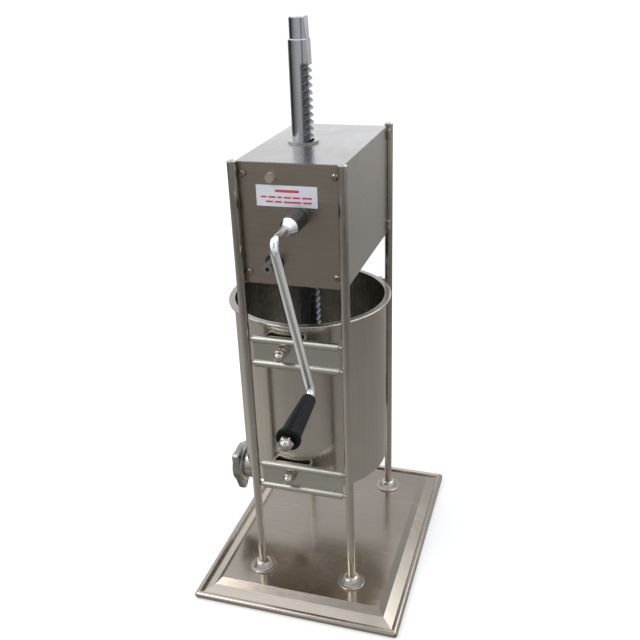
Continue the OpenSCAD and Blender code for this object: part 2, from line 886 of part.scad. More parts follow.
module piston() {
  color("lightgray") translate([rack_x, 0, 0]) difference() {
    union() {
      translate([0, 0, piston_z]) cylinder(r1 = piston_r - piston_chamfer, r2 = piston_r, h = piston_chamfer);
      translate([0, 0, piston_z + piston_chamfer]) cylinder(r = piston_r, h = piston_h - piston_chamfer);
    }
    translate([0, 0, groove_z]) difference() {
      cylinder(r = piston_r + 5, h = groove_h);
      translate([0, 0, -eps]) cylinder(r = groove_r, h = groove_h + 2 * eps);
    }
    translate([0, 0, piston_z + piston_floor]) difference() {
      cylinder(r = groove_r - piston_rib, h = piston_h);
      translate([0, 0, -eps]) cylinder(r = boss_r, h = piston_h + 2 * eps);
    }
    translate([0, 0, piston_z - eps]) cylinder(r = stud_r + clear, h = piston_h + 2 * eps);
  }
}

module piston_seal() {
  color([0.1, 0.1, 0.1]) translate([rack_x, 0, groove_z + seat])
    ring(bore_r - clear, groove_r + seat, groove_h - 2 * seat);
}

module piston_nut() {
  color("silver") translate([rack_x, 0, piston_z - piston_nut_h])
    hex_nut(piston_nut_af, stud_r + seat, piston_nut_h);
}

// ---------------------------------------------------------------- shafts and gears

// Upper shaft: the crank's seat in front, a keyed seat for the drive gear, and
// the pinion that drives the rack.
module pinion_shaft() {
  pinion_angle = 180 - rack_shift / pinion_r * 180 / PI;
  color("gray") at_fast_shaft() difference() {
    union() {
      rod_y(shaft_r, seat_y, shaft_rear);
      rod_y(seat_r, shaft_front, seat_y + 1);
      rod_y(shoulder_r, middle_plate_y + plate_t + shoulder_gap, rear_plate_y - shoulder_gap);
      gear_y(pinion_teeth, rack_mod, -pinion_half, 2 * pinion_half, pinion_angle);
    }
    translate([-key_w / 2 - seat, key_y, key_seat]) cube([key_w + 2 * seat, key_len, shaft_r]);
    difference() {
      rod_y(shaft_r + 5, clip_y, clip_y + clip_t + 0.2);
      rod_y(shaft_r - 0.5, clip_y - eps, clip_y + 2);
    }
  }
}

module drive_gear() {
  hub_end = middle_plate_y - bush_flange_t - 0.4;
  color([0.6, 0.58, 0.5]) at_fast_shaft() difference() {
    union() {
      gear_y(drive_teeth, gear_mod, drive_y, drive_w, mesh_angle);
      rod_y(gear_hub_r, drive_y, hub_end);
    }
    for (i = [0:5]) {
      rotate([0, 60 * i + 30, 0]) translate([gear_window_at, 0, 0])
        rod_y(gear_window_r, drive_y - eps, drive_y + drive_w + eps);
    }
    rod_y(shaft_r + seat, drive_y - eps, hub_end + eps);
    translate([-key_w / 2 - seat, drive_y - eps, 0])
      cube([key_w + 2 * seat, hub_end - drive_y + 2 * eps, 10.4]);
  }
}

module gear_key() {
  color("dimgray") at_fast_shaft() translate([-key_w / 2, key_y + seat, key_seat + seat])
    cube([key_w, key_len - 2 * seat, key_w]);
}

module shaft_clip() {
  color("dimgray") at_fast_shaft() difference() {
    rod_y(shaft_r + 2.5, clip_y + 0.1, clip_y + 0.1 + clip_t);
    rod_y(shaft_r - 0.4, clip_y - eps, clip_y + 2);
    translate([-3, clip_y - eps, -20]) cube([6, 4, 20]);
  }
}

// Lower shaft: a hexagonal outer end for the crank, and the small gear that
// turns the drive gear. A gap between its teeth faces the drive gear.
module slow_shaft() {
  gap_angle = 180 + mesh_angle + 180 / slow_teeth;
  bush_face = middle_plate_y - bush_flange_t;
  color("gray") at_slow_shaft() difference() {
    union() {
      rod_y(shaft_r, seat_y, middle_plate_y + plate_t);
      rod_y(seat_r, hex_end_y, seat_y + 1);
      rod_y(shoulder_r, front_plate_y + plate_t + shoulder_gap, bush_face - shoulder_gap);
      translate([0, hex_end_y, 0]) rotate([90, 0, 0]) hex(2 * seat_r * cos(30), hex_end_y - slow_end_y);
      gear_y(slow_teeth, gear_mod, slow_gear_y, slow_gear_w, gap_angle);
    }
    rod_y(centre_hole_r, slow_end_y - eps, slow_end_y + centre_hole_depth);
  }
}

// ---------------------------------------------------------------- crank

module crank_hub() {
  color("dimgray") at_crank() difference() {
    rod_y(hub_r, cone_y, seat_y);
    rod_y(seat_r + seat, cone_y - eps, seat_y + eps);
  }
}

module hub_cone() {
  color("white") at_crank() difference() {
    translate([0, cone_y, 0]) rotate([90, 0, 0]) cylinder(r1 = hub_r, r2 = rod_r + 1.5, h = cone_len);
    rod_y(rod_r + seat, cone_y - cone_len - eps, cone_y + eps);
  }
}

// One bent rod: out from the hub, down the arm, and out again to a thinner spindle.
module crank_arm() {
  color("gainsboro") {
    at_crank() {
      rod_y(rod_r, upper_bend - crank_y, shaft_front - 0.5);
      translate([0, upper_bend - crank_y, -upper_bend]) rotate([0, 0, 180]) rotate([0, -90, 0])
        rotate_extrude(angle = 90) translate([upper_bend, 0]) circle(r = rod_r);
      translate([0, -crank_y, lower_reach - crank_len])
        cylinder(r = rod_r, h = crank_len - lower_reach - upper_bend);
      translate([0, -crank_y - lower_bend, lower_reach - crank_len]) rotate([0, -90, 0]) rotate([0, 0, 90])
        rotate_extrude(angle = lower_turn) translate([lower_bend, 0]) circle(r = rod_r);
    }
    at_spindle() {
      translate([0, 0, lower_reach]) cylinder(r = rod_r, h = spindle_step);
      translate([0, 0, lower_reach - 2]) cylinder(r = spindle_r, h = grip_end + spindle_tail - lower_reach);
    }
  }
}

module grip() {
  color([0.07, 0.07, 0.07]) at_spindle() rotate_extrude() polygon([
    [spindle_r + clear, grip_start], [8.2, grip_start], [9.2, grip_start + 2],
    [10.4, grip_start + grip_len * 0.35], [12.2, grip_end - 12], [12.6, grip_end - 8],
    [14, grip_end - 7], [14.8, grip_end - 6], [14.8, grip_end - 1.5], [13.2, grip_end],
    [spindle_r + clear, grip_end]
  ]);
}

module grip_acorn_nut() {
  color("silver") at_spindle() translate([0, 0, grip_end + 0.3]) acorn_nut(grip_nut_af, spindle_r + seat, grip_nut_h);
}

// ---------------------------------------------------------------- assembly

base_plate();
base_bolts();
foot_flanges();
grub_screws();
post_front_left();
post_front_right();
post_rear_left();
post_rear_right();
corner_welds();
rail_front_upper();
rail_front_lower();
rail_rear_upper();
rail_rear_lower();
saddle_brackets();
rail_bolts();
rail_spacers();
rail_washers();
lock_nuts();
rail_acorn_nuts();
cylinder_node();  // cylinder
outlet_elbow();
ring_nut();
housing();
front_cover();
rear_cover();
cover_screws();
label_plate();
oil_plug();
tie_rods();
plate_spacers();
front_gear_plate();
middle_gear_plate();
rear_gear_plate();
shaft_bushes();
shaft_seals();
upper_rack_bush();
lower_rack_bush();
rack();
piston();
piston_seal();
piston_nut();
pinion_shaft();
drive_gear();
gear_key();
shaft_clip();
slow_shaft();
crank_hub();
hub_cone();
crank_arm();
grip();
grip_acorn_nut();
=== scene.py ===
import json
import math

import bmesh
import bpy
from mathutils import Matrix, Vector


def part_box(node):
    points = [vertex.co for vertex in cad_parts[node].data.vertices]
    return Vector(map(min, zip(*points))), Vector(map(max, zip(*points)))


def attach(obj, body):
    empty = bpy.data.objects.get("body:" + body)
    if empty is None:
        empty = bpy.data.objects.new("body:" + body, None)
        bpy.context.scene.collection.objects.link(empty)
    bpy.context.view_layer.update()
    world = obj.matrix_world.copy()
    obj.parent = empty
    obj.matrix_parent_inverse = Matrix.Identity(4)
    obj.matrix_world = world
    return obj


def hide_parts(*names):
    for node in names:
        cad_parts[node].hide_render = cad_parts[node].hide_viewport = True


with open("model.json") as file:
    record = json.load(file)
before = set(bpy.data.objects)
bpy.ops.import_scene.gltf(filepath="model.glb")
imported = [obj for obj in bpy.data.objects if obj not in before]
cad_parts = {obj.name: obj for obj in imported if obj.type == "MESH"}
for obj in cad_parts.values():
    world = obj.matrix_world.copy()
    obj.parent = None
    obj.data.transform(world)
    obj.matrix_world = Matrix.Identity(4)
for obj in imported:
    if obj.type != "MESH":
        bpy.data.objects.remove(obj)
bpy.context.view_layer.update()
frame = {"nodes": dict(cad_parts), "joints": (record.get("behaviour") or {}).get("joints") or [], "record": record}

NODES = frame["nodes"]
MM = 0.001
RACK_X = -18 * MM
BORE_GAP = 0.05 * MM
POST_D = 12 * MM
M10 = 10 * MM
NUT_CHAMFER = 1.3 * MM
NUT_COUNT = 120


# ---------------------------------------------------------------- materials

class Shader:
    """A short way to write one node material."""

    def __init__(self, name):
        self.material = bpy.data.materials.new(name)
        self.material.use_nodes = True
        self.tree = self.material.node_tree
        self.principled = self.tree.nodes["Principled BSDF"]

    def node(self, kind, **settings):
        made = self.tree.nodes.new("ShaderNode" + kind)
        for key, value in settings.items():
            setattr(made, key, value)
        return made

    def link(self, source, target):
        self.tree.links.new(source, target)

    def set(self, **values):
        for key, value in values.items():
            self.principled.inputs[key.replace("_", " ")].default_value = value

    def place(self, scale=(1, 1, 1)):
        """Object coordinates, stretched so that a small scale along an axis draws streaks along it."""
        coords = self.node("TexCoord")
        mapping = self.node("Mapping")
        mapping.inputs["Scale"].default_value = scale
        self.link(coords.outputs["Object"], mapping.inputs["Vector"])
        return mapping.outputs["Vector"]

    def noise(self, vector, scale, detail=3.0, roughness=0.5, distortion=0.0):
        made = self.node("TexNoise")
        made.inputs["Scale"].default_value = scale
        made.inputs["Detail"].default_value = detail
        made.inputs["Roughness"].default_value = roughness
        made.inputs["Distortion"].default_value = distortion
        self.link(vector, made.inputs["Vector"])
        return made.outputs["Fac"]

    def ramp(self, value, low, high, low_at=0.3, high_at=0.7):
        made = self.node("MapRange")
        made.inputs["From Min"].default_value = low_at
        made.inputs["From Max"].default_value = high_at
        made.inputs["To Min"].default_value = low
        made.inputs["To Max"].default_value = high
        self.link(value, made.inputs["Value"])
        return made.outputs["Result"]

    def math(self, operation, a, b):
        made = self.node("Math", operation=operation)
        for slot, value in zip(made.inputs, (a, b)):
            if isinstance(value, (int, float)):
                slot.default_value = value
            else:
                self.link(value, slot)
        return made.outputs["Value"]

    def mix(self, factor, a, b):
        """Colour a where the factor is 0, and b where it is 1."""
        made = self.node("Mix", data_type="RGBA")
        if isinstance(factor, (int, float)):
            made.inputs["Factor"].default_value = factor
        else:
            self.link(factor, made.inputs["Factor"])
        for slot, value in ((made.inputs["A"], a), (made.inputs["B"], b)):
            if isinstance(value, tuple):
                slot.default_value = (*value, 1)
            else:
                self.link(value, slot)
        return made.outputs["Result"]

    def bump(self, height, strength, distance):
        made = self.node("Bump")
        made.inputs["Strength"].default_value = strength
        made.inputs["Distance"].default_value = distance
        self.link(height, made.inputs["Height"])
        self.link(made.outputs["Normal"], self.principled.inputs["Normal"])

    def colour(self, output):
        self.link(output, self.principled.inputs["Base Color"])

    def roughness(self, output):
        self.link(output, self.principled.inputs["Roughness"])


def tone(colour, factor):
    """The same colour, lighter or darker."""
    return tuple(min(1.0, c * factor) for c in colour)


def brushed_steel(name, colour, rough, along, grain_bump=0.10, spread=0.10):
    """Satin sheet with a fine grain along one axis, and faint wide stains."""
    grain, streak = 2600.0, 40.0
    s = Shader(name)
    s.set(Metallic=1.0)
    stretch = [grain if axis != along else streak for axis in "XYZ"]
    fine = s.noise(s.place([v / 100 for v in stretch]), 100.0, 2.0, 0.6)
    band = s.noise(s.place([v / 1000 for v in stretch]), 60.0, 3.0, 0.55)
    stain = s.noise(s.place(), 9.0, 5.0, 0.6, 0.4)
    mixed = s.math("ADD", s.math("MULTIPLY", fine, 0.45), s.math("MULTIPLY", band, 0.55))
    shade = s.mix(s.ramp(mixed, 0.0, 1.0, 0.36, 0.64), tone(colour, 1 - spread), tone(colour, 1 + spread))
    s.colour(s.mix(s.ramp(stain, 0.0, 0.35, 0.45, 0.75), shade, tone(colour, 0.86)))
    grainy = s.ramp(fine, rough - 0.05, rough + 0.06)
    s.roughness(s.math("ADD", grainy, s.ramp(stain, 0.0, 0.09, 0.4, 0.75)))
    s.bump(fine, grain_bump, 0.00008)
    return s.material


def polished_steel(name, colour, rough):
    """Plated or polished metal with faint haze and hairline scratches."""
    wear = 0.06
    s = Shader(name)
    s.set(Metallic=1.0)
    haze = s.noise(s.place(), 28.0, 4.0, 0.6)
    hairs = s.noise(s.place((18.0, 18.0, 0.8)), 90.0, 2.0, 0.7, 0.8)
    s.colour(s.mix(s.ramp(haze, 0.0, 1.0), tone(colour, 0.94), tone(colour, 1.05)))
    s.roughness(s.math("ADD", s.ramp(haze, rough, rough + wear), s.ramp(hairs, 0.0, 0.08, 0.58, 0.72)))
    s.bump(hairs, 0.04, 0.00005)
    return s.material


def toothed_steel(name, colour, rough):
    """Plated steel, with near-black painted shade in and beside the tooth gaps but not on the tips of the teeth.
    """
    s = Shader(name)
    s.set(Metallic=1.0)
    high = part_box("rack")[1]
    haze = s.noise(s.place(), 28.0, 4.0, 0.6)
    patch_noise = s.noise(s.place(), 160.0, 3.0, 0.6)
    split = s.node("SeparateXYZ")
    s.link(s.place(), split.inputs["Vector"])
    x, z = split.outputs["X"], split.outputs["Z"]
    beside = s.ramp(x, 0.0, 1.0, RACK_X + 3.4 * MM, RACK_X + 5.4 * MM)
    tips = s.ramp(x, 1.0, 0.0, RACK_X + 11.6 * MM, RACK_X + 12.8 * MM)
    plain_top = 55 * MM
    under = s.ramp(z, 1.0, 0.0, high.z - plain_top - 3 * MM, high.z - plain_top)
    # Painted shade: a near-black colour laid in and beside the tooth gaps below the plain top, broken up by noise;
    # it also roughens the surface there.
    tooth_gap_shade = s.math("MULTIPLY", s.math("MULTIPLY", beside, tips), under)
    tooth_gap_shade = s.math("MULTIPLY", tooth_gap_shade, s.ramp(patch_noise, 0.6, 0.9))
    unshaded_colour = s.mix(s.ramp(haze, 0.0, 1.0), tone(colour, 0.94), tone(colour, 1.05))
    s.colour(s.mix(tooth_gap_shade, unshaded_colour, (0.06, 0.06, 0.07)))
    s.roughness(s.math("ADD", s.ramp(haze, rough, rough + 0.06), s.math("MULTIPLY", tooth_gap_shade, 0.2)))
    s.bump(patch_noise, 0.05, 0.0001)
    return s.material


def cast_metal(name, colour, rough):
    """Tumbled casting: fine pits and a mottled skin."""
    s = Shader(name)
    s.set(Metallic=1.0)
    pits = s.noise(s.place(), 520.0, 4.0, 0.65)
    mottle = s.noise(s.place(), 70.0, 4.0, 0.6)
    s.colour(s.mix(s.ramp(mottle, 0.0, 1.0), tone(colour, 0.75), tone(colour, 1.2)))
    s.roughness(s.ramp(mottle, rough - 0.08, rough + 0.12))
    s.bump(s.math("ADD", pits, mottle), 0.14, 0.0003)
    return s.material


def moulded_plastic(name, colour, rough, shine=0.5):
    """Black plastic or rubber with a fine texture and rubbed patches."""
    grain = 900.0
    s = Shader(name)
    s.set(Metallic=0.0, Specular_IOR_Level=shine)
    fine = s.noise(s.place(), grain, 3.0, 0.5)
    worn = s.noise(s.place(), 60.0, 4.0, 0.6)
    s.colour(s.mix(s.ramp(worn, 0.0, 1.0), colour, tuple(c + 0.006 for c in colour)))
    s.roughness(s.ramp(worn, rough - 0.06, rough + 0.10))
    s.bump(fine, 0.10, 0.0002)
    return s.material


def printed_film(name, colour, rough):
    """Thin glossy film with a faintly uneven tint."""
    s = Shader(name)
    s.set(Metallic=0.0, Coat_Weight=0.35, Coat_Roughness=0.2)
    cloud = s.noise(s.place(), 55.0, 4.0, 0.6)
    speck = s.noise(s.place(), 1400.0, 2.0, 0.5)
    s.colour(s.mix(s.ramp(cloud, 0.0, 1.0), tone(colour, 0.93), tone(colour, 1.03)))
    s.roughness(s.ramp(cloud, rough - 0.05, rough + 0.08))
    s.bump(speck, 0.05, 0.0001)
    return s.material


MATERIALS = {
    "base_sheet": brushed_steel("base_sheet", (0.51, 0.45, 0.385), 0.17, "X",
                                grain_bump=0.05, spread=0.04),
    "polished_tube": polished_steel("polished_tube", (0.50, 0.47, 0.42), 0.13),
    "foot_steel": polished_steel("foot_steel", (0.52, 0.48, 0.43), 0.18),
    "rail_steel": brushed_steel("rail_steel", (0.53, 0.515, 0.46), 0.27, "X", spread=0.05),
    "weld_steel": cast_metal("weld_steel", (0.40, 0.36, 0.33), 0.42),
    "fastener_steel": polished_steel("fastener_steel", (0.56, 0.52, 0.47), 0.12),
    # Near-black steel: painted shade on the rail spigots, which sit in the shadow between the posts and the rail
    # ends.
    "dark_steel": polished_steel("dark_steel", (0.06, 0.06, 0.06), 0.35),
    "cylinder_steel": brushed_steel("cylinder_steel", (0.54, 0.51, 0.455), 0.20, "Z",
                                    grain_bump=0.06, spread=0.04),
    "cast_nut": cast_metal("cast_nut", (0.40, 0.395, 0.37), 0.27),
    "housing_sheet": brushed_steel("housing_sheet", (0.51, 0.485, 0.455), 0.21, "Y",
                                   grain_bump=0.05, spread=0.03),
    # Painted shade: the front cover is the housing's sheet steel with a darker base colour, standing in for the
    # shade on the front face.
    "cover_sheet": brushed_steel("cover_sheet", (0.38, 0.335, 0.285), 0.28, "X",
                                 grain_bump=0.05, spread=0.04),
    "sticker": printed_film("sticker", (0.60, 0.62, 0.66), 0.35),
    "plate_steel": brushed_steel("plate_steel", (0.35, 0.34, 0.33), 0.38, "Z"),
    "gear_steel": polished_steel("gear_steel", (0.36, 0.35, 0.33), 0.28),
    "plug_nickel": polished_steel("plug_nickel", (0.66, 0.59, 0.48), 0.30),
    "bush_steel": polished_steel("bush_steel", (0.50, 0.49, 0.47), 0.20),
    "rack_chrome": toothed_steel("rack_chrome", (0.62, 0.64, 0.70), 0.10),
    "piston_metal": brushed_steel("piston_metal", (0.45, 0.44, 0.43), 0.35, "X"),
    "black_rubber": moulded_plastic("black_rubber", (0.012, 0.012, 0.012), 0.6),
    "hub_steel": brushed_steel("hub_steel", (0.15, 0.155, 0.16), 0.33, "Y"),
    "crank_chrome": polished_steel("crank_chrome", (0.93, 0.93, 0.95), 0.06),
    "grip_plastic": moulded_plastic("grip_plastic", (0.004, 0.004, 0.005), 0.34, shine=0.12),
}
INK = printed_film("label_ink", (0.55, 0.03, 0.07), 0.4)
SCREW_STEEL = polished_steel("screw_steel", (0.36, 0.30, 0.25), 0.22)


# ---------------------------------------------------------------- mesh helpers

def finish_piece(mesh_name, bm, slot, body, replaced=(), material=None, sharp=35):
    """Turns a bmesh into a piece that rides on a body and takes its finish from a slot."""
    bmesh.ops.recalc_face_normals(bm, faces=bm.faces)
    mesh = bpy.data.meshes.new(mesh_name)
    bm.to_mesh(mesh)
    bm.free()
    for polygon in mesh.polygons:
        polygon.use_smooth = True
    mesh.set_sharp_from_angle(angle=math.radians(sharp))
    piece = bpy.data.objects.new(mesh_name, mesh)
    bpy.context.scene.collection.objects.link(piece)
    mesh.materials.append(material or MATERIALS[slot])
    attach(piece, body)
    if replaced:
        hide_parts(*replaced)
    return piece


def islands(node):
    """Low and high corners of each separate solid in a node."""
    mesh = NODES[node].data
    parent = list(range(len(mesh.vertices)))

    def root(i):
        while parent[i] != i:
            parent[i] = parent[parent[i]]
            i = parent[i]
        return i

    seen = {}
    for i, vertex in enumerate(mesh.vertices):
        key = tuple(round(c, 6) for c in vertex.co)
        parent[i] = root(seen.setdefault(key, i))
    for edge in mesh.edges:
        a, b = (root(i) for i in edge.vertices)
        parent[a] = b
    groups = {}
    for i, vertex in enumerate(mesh.vertices):
        groups.setdefault(root(i), []).append(vertex.co)
    boxes = []
    for points in groups.values():
        low = Vector(min(p[k] for p in points) for k in range(3))
        high = Vector(max(p[k] for p in points) for k in range(3))
        boxes.append((low, high))
    return sorted(boxes, key=lambda box: tuple(round(c, 4) for c in box[0]))


def axes_matrix(origin, along, side):
    """Local Z runs along the given direction, and local X towards the side direction."""
    z = Vector(along).normalized()
    x = (Vector(side) - Vector(side).dot(z) * z).normalized()
    y = z.cross(x)
    matrix = Matrix((x, y, z)).transposed().to_4x4()
    matrix.translation = origin
    return matrix


def rings(bm, matrix, levels, count, radius):
    """Closed skin through rings. levels is [(height, base radius), ...], and
    radius(base, height, angle) gives the true radius. A base radius of 0 is a point on the axis."""
    previous = None
    for height, base in levels:
        if base == 0:
            ring = [bm.verts.new(matrix @ Vector((0, 0, height)))]
        else:
            ring = []
            for i in range(count):
                angle = 2 * math.pi * i / count
                r = radius(base, height, angle)
                spot = Vector((r * math.cos(angle), r * math.sin(angle), height))
                ring.append(bm.verts.new(matrix @ spot))
        if previous:
            for i in range(count):
                j = (i + 1) % count
                corners = [previous[i % len(previous)], previous[j % len(previous)],
                           ring[j % len(ring)], ring[i % len(ring)]]
                unique = list(dict.fromkeys(corners))
                if len(unique) > 2:
                    bm.faces.new(unique)
        previous = ring


def lathe(bm, matrix, levels, count=96):
    rings(bm, matrix, levels, count, lambda base, height, angle: base)


def arc(centre, radius, start, end, steps):
    """Points (height, radius) along an arc, with angles in degrees from the outward direction."""
    points = []
    for i in range(steps + 1):
        angle = math.radians(start + (end - start) * i / steps)
        points.append((centre[0] + radius * math.sin(angle), centre[1] + radius * math.cos(angle)))
    return points


# ---------------------------------------------------------------- pieces

def hexagon(flats, chamfer_height, low, high):
    """Radius of a hexagonal nut with conical chamfers at its low and high ends."""
    corner = flats / 2 / math.cos(math.radians(30))
    chamfer_start = flats / 2 * 0.985

    def radius(base, height, angle):
        if base < flats / 2 - 1e-9:
            return base
        turn = (angle + math.pi / 6) % (math.pi / 3) - math.pi / 6
        flat = flats / 2 / math.cos(abs(turn) - math.pi / 6)
        reach = min(height - low, high - height)
        cone = chamfer_start + max(0.0, reach) * (corner - flats / 2) / chamfer_height
        return min(flat, cone)

    return radius


def hex_levels(low, high, chamfer_height, flats):
    steps = 6
    heights = [low + chamfer_height * i / steps for i in range(steps + 1)]
    heights += [high - chamfer_height * (steps - i) / steps for i in range(steps + 1)]
    return [(h, flats) for h in heights]


def add_acorn(bm, matrix, flats, height, hole):
    """Domed nut from 0 to height along the matrix's Z, chamfered like a turned hexagon."""
    dome = flats * 0.46
    shoulder = height - dome
    levels = [(0.0, hole), (0.0, flats / 2 * 0.9)] + hex_levels(0.0, shoulder, NUT_CHAMFER, flats)
    levels += [(shoulder + 0.15 * MM, flats / 2 * 0.94), (shoulder + 0.2 * MM, dome * 0.985)]
    steps = 14
    for i in range(1, steps + 1):
        angle = math.pi / 2 * i / steps
        levels.append((shoulder + dome * math.sin(angle), dome * math.cos(angle) if i < steps else 0))
    inside = height * 0.6
    levels = [(inside, 0), (inside, hole)] + levels
    rings(bm, matrix, levels, NUT_COUNT, hexagon(flats, NUT_CHAMFER, 0.0, shoulder))


def add_hex_nut(bm, matrix, flats, height, hole):
    bevel = 0.6 * MM
    levels = [(0.0, hole), (0.0, flats / 2 * 0.9)] + hex_levels(0.0, height, NUT_CHAMFER, flats)
    levels += [(height, flats / 2 * 0.9), (height, hole + bevel), (height - bevel, hole), (0.0, hole)]
    rings(bm, matrix, levels, NUT_COUNT, hexagon(flats, NUT_CHAMFER, 0.0, height))


def rail_nuts(node, add_nut):
    """Every nut of a node, pointing away from the rails: flats from its height, length from its depth."""
    bm = bmesh.new()
    for low, high in islands(node):
        side = 1 if low.y + high.y > 0 else -1
        base = low.y if side > 0 else high.y
        centre = Vector(((low.x + high.x) / 2, base, (low.z + high.z) / 2))
        matrix = axes_matrix(centre, (0, side, 0), (1, 0, 0))
        add_nut(bm, matrix, high.z - low.z, high.y - low.y, M10 / 2 + BORE_GAP)
    return finish_piece(node + "_turned", bm, "fastener_steel", "frame", [node])


def foot_flanges():
    """Turned flanges: a rounded lip, a shallow groove and a domed hub round each post."""
    bm = bmesh.new()
    for low, high in islands("foot_flanges"):
        centre = Vector(((low.x + high.x) / 2, (low.y + high.y) / 2, low.z))
        outer = (high.x - low.x) / 2
        height = high.z - low.z
        bore = POST_D / 2 + BORE_GAP
        lip = 1.15 * MM
        levels = [(0.0, bore), (0.0, outer - 0.4 * MM)]
        levels += arc((lip, outer - lip), lip, -80, 90, 10)
        groove = 2 * lip - 0.5 * MM
        shoulder = 2 * lip - 0.3 * MM
        levels += [(groove, outer - 3.0 * MM), (shoulder, outer - 3.6 * MM)]
        steps = 14
        foot = outer - 4.0 * MM
        top = 8.2 * MM
        dome_power = 1.15
        for i in range(steps + 1):
            t = i / steps
            r = foot + (top - foot) * t
            rise = math.sin(math.pi / 2 * t) ** dome_power
            levels.append((shoulder + (height - 2 * lip - 0.5 * MM) * rise, r))
        levels += [(height, top - 0.7 * MM), (height, bore), (0.0, bore)]
        lathe(bm, Matrix.Translation(centre), levels)
    return finish_piece("foot_flanges_turned", bm, "foot_steel", "frame", ["foot_flanges"], sharp=50)


def spindle_frame():
    """A point on the grip's axis, and the axis."""
    joint = next(j for j in frame["joints"] if j["name"] == "grip_spin")
    origin, along = Vector(joint["pos_m"]), Vector(joint["axis"]).normalized()
    return origin, along


def span_along(node, origin, along):
    """Where a node starts and ends along an axis."""
    spots = [(vertex.co - origin).dot(along) for vertex in NODES[node].data.vertices]
    return min(spots), max(spots)


def ribbed_grip():
    """Moulded grip with rounded ribs that run out before its end flange."""
    origin, along = spindle_frame()
    start, end = span_along("grip", origin, along)
    matrix = axes_matrix(origin + along * start, along, (0, 0, 1))
    length = end - start
    bore = M10 / 2 + BORE_GAP
    flange = 14.8 * MM
    flange_foot = length - 7.5 * MM
    neck_radius, body_growth, growth_power = 9.0 * MM, 3.6 * MM, 0.95
    ribs = 14
    rib_depth = 0.45 * MM

    def body_radius(s):
        return neck_radius + body_growth * (s / flange_foot) ** growth_power

    def ribbing(s):
        rise = min(1.0, max(0.0, (s - 4 * MM) / (5 * MM)))
        fall = min(1.0, max(0.0, (flange_foot - 5 * MM - s) / (4 * MM)))
        return (rise * fall) ** 0.5

    def radius(base, height, angle):
        if base <= bore + 1e-9 or height > flange_foot or height < 3 * MM:
            return base
        wave = abs(math.sin(angle * ribs / 2))
        return base - rib_depth * ribbing(height) * (1 - wave ** 0.7)

    nose = 1.3 * MM
    nose_at = 7.7 * MM
    levels = [(0.0, bore), (0.0, nose_at - 0.1 * MM)]
    levels += arc((nose, nose_at), nose, -80, 0, 5)
    steps = 64
    body_start = 2 * MM
    for i in range(steps + 1):
        height = body_start + (flange_foot - body_start) * i / steps
        levels.append((height, body_radius(height)))
    last = levels[-1][1]
    levels += [(flange_foot + 0.5 * MM, last + 0.5 * MM), (flange_foot + 1.0 * MM, last + 1.6 * MM)]
    inner_round, outer_round = 1.4 * MM, 2.2 * MM
    levels += arc((flange_foot + 1.0 * MM + inner_round, flange - inner_round), inner_round, -80, 0, 6)
    levels += arc((length - outer_round, flange - outer_round), outer_round, 0, 85, 8)
    recess = 0.6 * MM
    levels += [(length, flange - 4.5 * MM), (length - recess, flange - 5.2 * MM)]
    levels += [(length - recess, bore), (0.0, bore)]
    bm = bmesh.new()
    steps_per_rib = 12
    rings(bm, matrix, levels, ribs * steps_per_rib, radius)
    return finish_piece("grip_moulding", bm, "grip_plastic", "grip_unit", ["grip"], sharp=50)


def grip_nut():
    """Acorn nut on the end of the grip's spindle."""
    origin, along = spindle_frame()
    start, end = span_along("grip_acorn_nut", origin, along)
    flats = 16 * MM
    hole = M10 / 2 + 0.02 * MM
    bm = bmesh.new()
    add_acorn(bm, axes_matrix(origin + along * start, along, (1, 0, 0)), flats, end - start, hole)
    return finish_piece("grip_acorn_nut_turned", bm, "fastener_steel", "fast_unit", ["grip_acorn_nut"])


def ring_nut():
    """Cast nut: a ring with three rounded lugs, soft at every edge."""
    joint = next(j for j in frame["joints"] if j["name"] == "ring_nut_turn")
    low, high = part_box("ring_nut")
    origin = Vector((low.x, joint["pos_m"][1], joint["pos_m"][2]))
    lug_turn = math.radians(-13.4)
    matrix = axes_matrix(origin, (1, 0, 0), (0, math.sin(lug_turn), -math.cos(lug_turn)))
    width = high.x - low.x
    ring = 31.0 * MM
    tip = 7.0 * MM
    lug_places = (39.8 * MM, 39.8 * MM, 35.2 * MM)
    seat, pipe, lip = 20.0 * MM, 24.05 * MM, 4.0 * MM
    soft = 3.0 * MM
    edge = 1.8 * MM
    third = 2 * math.pi / 3

    def outline(angle):
        tip_at = lug_places[int((angle / third + 0.5) % 3)]
        slope = math.asin((ring - tip) / tip_at)
        tip_turn = math.atan2(tip * math.cos(slope), tip_at + tip * math.sin(slope))
        ring_turn = math.pi / 2 - slope
        turn = abs((angle + third / 2) % third - third / 2)
        if turn < tip_turn:
            return tip_at * math.cos(turn) + math.sqrt(tip ** 2 - (tip_at * math.sin(turn)) ** 2)
        if turn < ring_turn:
            return ring / math.cos(turn - ring_turn)
        return ring

    def radius(base, height, angle):
        if base > 0:
            return base
        return max(ring, outline(angle) + base)

    first = 1.5 * MM
    last = width - 3.5 * MM
    steps = 8
    levels = [(0.0, seat), (0.0, ring - edge)]
    levels += [(0.5 * MM, ring - 0.5 * MM), (first - 0.25 * MM, ring)]
    for i in range(steps + 1):
        turn = math.pi / 2 * i / steps
        levels.append((first + soft * (1 - math.cos(turn)), -soft * (1 - math.sin(turn)) - 1e-6))
    for i in range(steps + 1):
        turn = math.pi / 2 * i / steps
        levels.append((last - soft * (1 - math.sin(turn)), -soft * (1 - math.cos(turn)) - 1e-6))
    levels += [(last + 0.25 * MM, ring), (width - 1.6 * MM, ring), (width - 0.6 * MM, ring - 0.5 * MM)]
    levels += [(width, ring - edge), (width, pipe), (lip, pipe), (lip, seat), (0.0, seat)]
    bm = bmesh.new()
    rings(bm, matrix, levels, 540, radius)
    return finish_piece("ring_nut_casting", bm, "cast_nut", "nut_unit", ["ring_nut"], sharp=60)


